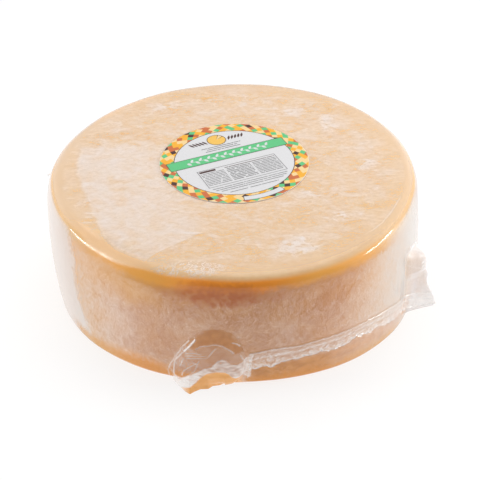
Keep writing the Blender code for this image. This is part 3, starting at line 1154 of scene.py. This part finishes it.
def film_material():
    """Film of the skin: hazy patches, fibres and the marks kept in the mesh, painted glints among them.
    """
    made, shader, place = new_material("film")
    x, y = in_plan(place)
    angle = wall_angle(x, y)
    level = attribute(place, "level")
    haze_and_glints = attribute(place, "haze_and_glints")
    loose = attribute(place, "loose")
    ear = attribute(place, "ear")
    orange_tint = attribute(place, "orange_tint")
    top = on_top(level, angle)
    wall = ease(level, 0.1100, 0.1060)
    tight = top_milk(place, x, y, plan_angle(x, y)) * top + side_milk(place, angle, level) * wall
    tight = tight + 0.02
    tight = tight * (1 - loose * 0.76)
    curls = grain(place, (0.0075, 0.0075, 0.0055), detail=2.0, twist=1.8)
    creased = ease(abs(curls - 0.5), 0.024, 0.004) * loose * ease(angle, -97.0, -101.0)
    clear = (1 - less(tight, 0.95)) * (1 - haze_and_glints) * (1 - orange_tint * 0.8)
    milk = 1 - clear * (1 - creased * 0.18)
    left = ease(angle, -137.0, -147.0)
    right = ease(angle, -21.0, -11.5)
    ends = more(left, right)
    # Painted light and shade: the film's colour changes by region to even out how the lights fall on
    # it.
    side = blend(FILM_SIDE_PAINTED_LIGHT, FILM_END_PAINTED_SHADE, ease(abs(angle + 90.0), 30.0, 54.0))
    colour = blend(FILM_TOP, blend(side, blend(FILM_LEFT_PAINTED_SHADE, FILM_RIGHT_PAINTED_SHADE, right), ends), wall)
    colour = blend(blend(colour, FILM_LOOSE, loose), FILM_EAR, ear)
    # Low at the front, below the seal band, the film is tinted orange and made less clear.
    colour = blend(colour, FILM_ORANGE, orange_tint)
    # Painted highlights: the glint lines are milky and mirror-like, so they pick up the bright ground
    # and the lights.
    mirroring = more(haze_and_glints, wall * (1 - loose) * (1 - ends))
    mirroring = mirroring * (1 - ease(ear, 0.0, 0.25) * ease(haze_and_glints, 0.80, 0.60))
    wrinkles = grain(place, (0.006, 0.006, 0.010), detail=2.0)
    dress(place, shader, {
        "Base Color": colour,
        "Metallic": mirroring * 0.7,
        "Roughness": 0.22,
        "Specular IOR Level": 0.2,
        "Normal": bump(place, 0.2, 0.0005, wrinkles),
    })
    mixed_with_clear(made, shader, thicker_at_grazing(milk))
    return made


def cover_with_film(piece, material):
    """Give a piece its film, which neither shades what lies below nor bounces light onto it."""
    piece.data.materials.append(material)
    piece.visible_shadow = False
    piece.visible_diffuse = False


film = film_material()
cover_with_film(skin, film)
print("film nodes:", len(film.node_tree.nodes))

# %% [markdown]
# ## Front seal
#
# The bag was closed by a hot bar, and the flat double film of that seal is folded down against
# the side. It is a ribbon of its own with a straight welded edge above and a free wavy edge
# below, crumpled where the fold begins. It is made as a thin closed sheet that follows the skin.

# %% Ribbons of double film
FRONT_RIBBON = (
    (-85.6, 0.0193, 0.0391), (-83.1, 0.0229, 0.0402), (-79.8, 0.0246, 0.0426),
    (-75.5, 0.0262, 0.0429), (-70.9, 0.0294, 0.0423), (-65.3, 0.0303, 0.0439),
    (-57.3, 0.0310, 0.0437), (-51.0, 0.0328, 0.0438), (-48.3, 0.0318, 0.0436),
    (-43.5, 0.0290, 0.0420), (-39.4, 0.0265, 0.0401), (-35.0, 0.0245, 0.0375),
    (-30.9, 0.0220, 0.0355), (-27.5, 0.0180, 0.0330), (-25.2, 0.0165, 0.0300),
)
BACK_RIBBON = (
    (77.5, 0.0200, 0.0440), (83.0, 0.0260, 0.0450), (100.0, 0.0330, 0.0480),
    (130.0, 0.0450, 0.0600), (155.0, 0.0570, 0.0730), (161.0, 0.0610, 0.0770),
    (165.0, 0.0650, 0.0800),
)
RIBBON_THICKNESS = 0.00025
RIBBON_ROWS = 16
METRES_PER_DEGREE = 0.0028


def on_skin(angle, z, off):
    """Point a little off the bag's skin, its loose parts included."""
    rise = z / WHEEL_HEIGHT
    lift = np.maximum(pocket_lift(angle, z), corner_lift(angle, z)) + back_lift(angle, z)
    radius = plan_radius(angle, rise) + FILM_GAP + lift + off
    turn = np.radians(angle)
    x = radius * np.cos(turn) + ear_reach(angle, z)
    return np.stack([x, radius * np.sin(turn), np.broadcast_to(z, x.shape)], -1)


def sheet_faces(columns, rows):
    """Faces of a thin closed sheet: its inner side, its outer side and the rim between them."""
    count = columns * rows
    faces = []
    for c in range(columns - 1):
        for r in range(rows - 1):
            a = c * rows + r
            faces.append((a, a + 1, a + rows + 1, a + rows))
            faces.append((count + a, count + a + rows, count + a + rows + 1, count + a + 1))
    rim = [c * rows for c in range(columns)]
    rim += [(columns - 1) * rows + r for r in range(1, rows)]
    rim += [c * rows + rows - 1 for c in range(columns - 2, -1, -1)]
    rim += list(range(rows - 2, 0, -1))
    for a, b in zip(rim, rim[1:] + rim[:1]):
        faces.append((a, b, count + b, count + a))
    return faces


def make_ribbon(name, keys, seed, node):
    """Thin closed sheet along the side, welded above and wavy at its free edge."""
    angles = np.arange(keys[0][0], keys[-1][0] + 0.01, 0.2)[:, None]
    share = np.linspace(0, 1, RIBBON_ROWS)[None, :]
    low = keyed(keys, angles)
    high = keyed(keys, angles, 2)
    run = angles * METRES_PER_DEGREE
    along = np.concatenate([run, 0 * run, 0 * run], axis=1)[:, None, :]
    edge_wave = 0.0013 * ripples(along, 0.012, seed) + 0.0007 * ripples(along, 0.0045, seed + 1)
    z = low + (high - low) * share + edge_wave * (1 - share) ** 2
    flat = np.stack([run + 0 * z, 0 * z, z], -1)
    free = 1 - share
    off = 0.0006 + 0.0011 * free ** 1.5
    off = off + free * 0.0009 * np.abs(ripples(flat, 0.009, seed + 2, squeeze=(1.0, 1.0, 0.35)))
    pleats = ripples(flat, 0.0035, seed + 3, squeeze=(0.25, 1.0, 1.0))
    off = off + 0.0003 * np.abs(pleats)
    inner = on_skin(angles, z, off)
    outer = on_skin(angles, z, off + RIBBON_THICKNESS)
    points = np.vstack([inner.reshape(-1, 3), outer.reshape(-1, 3)]).tolist()
    made = link_piece(name, points, sheet_faces(*z.shape), [], node)
    # Painted highlights: the two lines along the sheet and its free edge are made milkier, partly for
    # the whitened double film and partly as painted glints of the crimped edge.
    lines = np.maximum(bell((share - 0.98) / 0.06), bell((share - 0.62) / 0.05))
    crinkle = np.clip(np.abs(ripples(flat, 0.006, seed + 4)) * 1.3 - 0.25, 0, 1)
    haze_and_glints = 0.10 + 0.22 * lines + 0.30 * bell(share / 0.14) + 0.30 * crinkle * free
    haze_and_glints = np.clip(haze_and_glints, 0, 0.85)
    store(made, "haze_and_glints", np.stack([haze_and_glints, haze_and_glints]))
    return made


front_seal = make_ribbon("front_seal", FRONT_RIBBON, 20, None)
back_seam = make_ribbon("back_seam", BACK_RIBBON, 40, "bag_back_seam")
print("ribbons:", len(front_seal.data.polygons), len(back_seam.data.polygons), "faces")


# %% Ribbon material
def ribbon_material(name):
    """Doubled film: milkier, with fine crimps of the sealing bar."""
    made, shader, place = new_material(name)
    haze_and_glints = attribute(place, "haze_and_glints")
    fine = grain(place, (0.0022, 0.0022, 0.0016), detail=2.0)
    dress(place, shader, {
        "Base Color": FILM_LOOSE,
        "Metallic": 0.55,
        "Roughness": 0.22,
        "Specular IOR Level": 1.0,
        "Normal": bump(place, 0.5, 0.0005, fine),
    })
    milk = haze_and_glints * (0.65 + ease(fine, 0.3, 0.7) * 0.7)
    mixed_with_clear(made, shader, less(milk, 0.95))
    return made


cover_with_film(front_seal, ribbon_material("front_film"))
cover_with_film(back_seam, ribbon_material("back_film"))
print("ribbon materials ready")

# %% [markdown]
# ## Label
#
# A round coated paper label, printed with a bright border, a green banner, a small golden
# emblem and a panel of fine rules. The print is made as thin shapes of ink on the sheet rather
# than as an image, so its edges stay sharp from any distance. The border is a harlequin of
# lozenges, and rules stand where small print would be.

# %% Label sheet and ink shapes
LABEL_RADIUS = 0.0657
LABEL_GAP = 0.0003
LABEL_THICKNESS = 0.0005
LABEL_TURN = 24.0
INK = 0.00003
DISC_RADIUS = 0.0532
BORDER_EDGE = 0.0002
LEAF_STEPS = 6


def on_label(u, v, lift):
    """Point on the label from its own coordinates: u along the banner, v up the label."""
    turn = math.radians(LABEL_TURN)
    x = LABEL_CENTRE[0] + u * math.cos(turn) - v * math.sin(turn)
    y = LABEL_CENTRE[1] + u * math.sin(turn) + v * math.cos(turn)
    return (x, y, top_height(x, y) + LABEL_GAP + lift)


class Print:
    """Thin closed shapes of ink, gathered into one mesh."""

    def __init__(self):
        self.points = []
        self.faces = []
        self.inks = []

    def shape(self, outline, layer, ink):
        """Flat shape from an outline that runs anticlockwise."""
        start = len(self.points)
        count = len(outline)
        base = LABEL_THICKNESS + layer * INK
        self.points += [on_label(u, v, base - INK * 0.6) for u, v in outline]
        self.points += [on_label(u, v, base) for u, v in outline]
        self.faces.append(tuple(start + i for i in reversed(range(count))))
        self.faces.append(tuple(start + count + i for i in range(count)))
        for i in range(count):
            j = (i + 1) % count
            self.faces.append((start + i, start + j, start + count + j, start + count + i))
        self.inks += [ink] * (count + 2)


def polar(angle, radius):
    """Point of the label from an angle in degrees and a radius."""
    return (radius * math.cos(math.radians(angle)), radius * math.sin(math.radians(angle)))


def sector(start, end, inner, outer, step=3.0):
    """Outline of a piece of a ring."""
    count = max(1, math.ceil((end - start) / step))
    turns = [start + (end - start) * i / count for i in range(count + 1)]
    return [polar(t, outer) for t in turns] + [polar(t, inner) for t in reversed(turns)]


def ring(printed, inner, outer, layer, ink, pieces=24):
    """Whole ring of ink, in pieces so that each shape stays simple."""
    for i in range(pieces):
        printed.shape(sector(360 * i / pieces, 360 * (i + 1) / pieces, inner, outer), layer, ink)


def box(left, low, right, high):
    """Outline of an upright rectangle."""
    return [(left, low), (right, low), (right, high), (left, high)]


def leaf(centre, length, width, turn):
    """Pointed oval leaf."""
    outline = []
    for side in (1, -1):
        for i in range(LEAF_STEPS):
            share = i / LEAF_STEPS if side == 1 else 1 - i / LEAF_STEPS
            outline.append(((share - 0.5) * length, -side * width / 2 * math.sin(math.pi * share)))
    c = math.cos(math.radians(turn))
    s = math.sin(math.radians(turn))
    return [(centre[0] + u * c - v * s, centre[1] + u * s + v * c) for u, v in outline]


print("label helpers ready")

# %% Harlequin border
PAPER, ORANGE, CREAM, GREEN, TERRACOTTA, BROWN, GREY, GOLD = range(8)
INK_COLOURS = {
    "paper": (0.74, 0.735, 0.745),
    "orange": (0.93, 0.46, 0.045),
    "cream": (0.92, 0.67, 0.33),
    "green": (0.13, 0.57, 0.24),
    "terracotta": (0.62, 0.17, 0.06),
    "brown": (0.085, 0.04, 0.035),
    "grey": (0.17, 0.165, 0.17),
    "gold": (0.90, 0.55, 0.12),
}
LOZENGES = 50
LOZENGE_ROWS = 5


def border(printed):
    """Rows of lozenges in mixed colours, with no two alike side by side."""
    draw = random.Random(5)
    width = 360.0 / LOZENGES
    depth = (LABEL_RADIUS - DISC_RADIUS) / (LOZENGE_ROWS - 1)
    shares = [ORANGE] * 10 + [CREAM] * 8 + [GREEN] * 4 + [TERRACOTTA] * 4 + [BROWN] * 2
    before = [None] * LOZENGES
    for row in range(LOZENGE_ROWS):
        last = None
        for i in range(LOZENGES):
            ink = draw.choice([s for s in shares if s not in (last, before[i], before[i - 1])])
            middle = (i + 0.5 * (row % 2)) * width
            radii = [DISC_RADIUS + depth * k for k in (row - 1, row, row + 1)]
            low = polar(middle, max(radii[0], DISC_RADIUS))
            high = polar(middle, min(radii[2], LABEL_RADIUS - BORDER_EDGE))
            rim = BORDER_EDGE if row == LOZENGE_ROWS - 1 else 0.0
            left = polar(middle - width / 2, radii[1] - rim)
            right = polar(middle + width / 2, radii[1] - rim)
            outline = [left, low, right, high]
            if row == 0:
                outline = [left, right, high]
            if row == LOZENGE_ROWS - 1:
                outline = [left, low, right]
            printed.shape(outline[::-1], 1, ink)
            before[i] = ink
            last = ink


label_print = Print()
border(label_print)
ring(label_print, DISC_RADIUS - 0.0005, DISC_RADIUS + 0.0001, 2, BROWN)
print("border shapes:", LOZENGE_ROWS * LOZENGES)


# %% Banner, emblem and rules
WORD_GAP = 0.0006
SHORTEST_WORD = 0.0008


def banner(printed):
    """Green banner with a dark edge and a white sprig of leaves."""
    printed.shape(box(-0.0570, 0.0062, 0.0555, 0.0200), 3, BROWN)
    printed.shape(box(-0.0565, 0.0068, 0.0550, 0.0194), 4, GREEN)
    printed.shape(box(-0.0385, 0.01280, 0.0385, 0.01340), 5, PAPER)
    for i in range(20):
        u = (i - 9.5) * 0.0040
        side = 1 if i % 2 else -1
        printed.shape(leaf((u, 0.0131 + side * 0.0021), 0.0056, 0.0025, side * 52), 6, PAPER)


def emblem(printed):
    """Golden wheel with a wedge cut out, between two dark sprigs."""
    middle = 0.0400
    discs = (
        (0, 360, 0.0088, 3, BROWN),
        (62, 385, 0.0082, 4, GOLD),
        (30, 57, 0.0082, 4, CREAM),
    )
    for start, end, radius, layer, ink in discs:
        outline = [polar(start + (end - start) * i / 40, radius) for i in range(41)]
        if end - start < 360:
            outline.append((0.0, 0.0))
        else:
            outline.pop()
        printed.shape([(u, middle + v) for u, v in outline], layer, ink)
    for side in (-1, 1):
        for i in range(5):
            u = side * (0.0118 + i * 0.0032)
            printed.shape(leaf((u, middle - 0.0008), 0.0074, 0.0021, 90 - side * 28), 3, BROWN)
    for v, half in ((0.0292, 0.0190), (0.0264, 0.0145), (0.0236, 0.0170)):
        rules(printed, -half, half, v, 0.0008, GREY, 4)


def rules(printed, left, right, v, height, ink, breaks):
    """Broken rule in place of a line of small print."""
    draw = random.Random(int(v * 1e6) + int(left * 1e6))
    edges = sorted(draw.uniform(left, right) for _ in range(breaks))
    starts = [left] + [e + WORD_GAP for e in edges]
    for start, end in zip(starts, edges + [right]):
        if end - start > SHORTEST_WORD:
            printed.shape(box(start, v, end, v + height), 3, ink)


def panel(printed):
    """Framed panel of grey rules below the banner."""
    left, right, low, high = -0.0370, 0.0370, -0.0310, -0.0030
    line = 0.0005
    printed.shape(box(left, high - line, right, high), 3, GREY)
    printed.shape(box(left, low, right, low + line), 3, GREY)
    printed.shape(box(left, low + line, left + line, high - line), 3, GREY)
    printed.shape(box(right - line, low + line, right, high - line), 3, GREY)
    printed.shape(box(-0.0355, -0.0070, -0.0205, -0.0044), 3, BROWN)
    for row in range(9):
        v = -0.0092 - row * 0.0023
        rules(printed, -0.0355, -0.0140, v, 0.0007, GREY, 3)
        rules(printed, -0.0120, 0.0110, v, 0.0009, GREY, 4)
        rules(printed, 0.0130, 0.0355, v, 0.0008, GREY, 3)
    rules(printed, -0.0120, 0.0355, -0.0066, 0.0008, BROWN, 3)
    for v, half in ((-0.0345, 0.0350), (-0.0372, 0.0330), (-0.0399, 0.0290), (-0.0440, 0.0230)):
        rules(printed, -half, half, v, 0.0007, GREY, 7)


def write_box(printed):
    """White curved box in the border, with a dark edge."""
    printed.shape(sector(-106.5, -70.5, 0.0560, 0.0625), 2, BROWN)
    printed.shape(sector(-106.0, -71.0, 0.0565, 0.0620), 3, PAPER)


for draw_part in (banner, emblem, panel, write_box):
    draw_part(label_print)
print("ink shapes:", len(label_print.inks))


# %% Label materials and pieces
def ink_material(name, colour):
    """Coated paper or ink with a faint print grain."""
    made, shader, place = new_material("ink_" + name)
    fine = grain(place, (0.0006, 0.0006, 0.0006), detail=2.0)
    darker = tuple(c * 0.88 for c in colour) + (1.0,)
    printed_colour = blend(colour + (1.0,), darker, ease(fine, 0.35, 0.75))
    dress(place, shader, {"Base Color": printed_colour, "Roughness": 0.38})
    return made


LABEL_ROWS = (
    (0.5, 0.0),
    (0.95, 0.0),
    (1.0, 0.0),
    (1.0, 0.85),
    (0.998, 1.0),
    (0.95, 1.0),
    (0.5, 1.0),
)


def make_label():
    """Paper disc just thick enough to show its edge."""
    turns = np.arange(180) * 2.0
    grid = []
    for share, lift in LABEL_ROWS:
        ring_points = [polar(t, LABEL_RADIUS * share) for t in turns]
        grid.append([on_label(u, v, lift * LABEL_THICKNESS) for u, v in ring_points])
    grid = np.array(grid)
    faces = turned_faces(*grid.shape[:2])
    paper = ink_material("paper_sheet", INK_COLOURS["paper"])
    return link_piece("label_sheet", with_poles(grid), faces, [paper], "label")


label_sheet = make_label()
inks = [ink_material(name, colour) for name, colour in INK_COLOURS.items()]
printed_piece = link_piece(
    "label_print", label_print.points, label_print.faces, inks, None, smooth=False
)
printed_piece.data.polygons.foreach_set("material_index", label_print.inks)
print("label sheet:", len(label_sheet.data.polygons), "faces")
print("label print:", len(printed_piece.data.polygons), "faces")
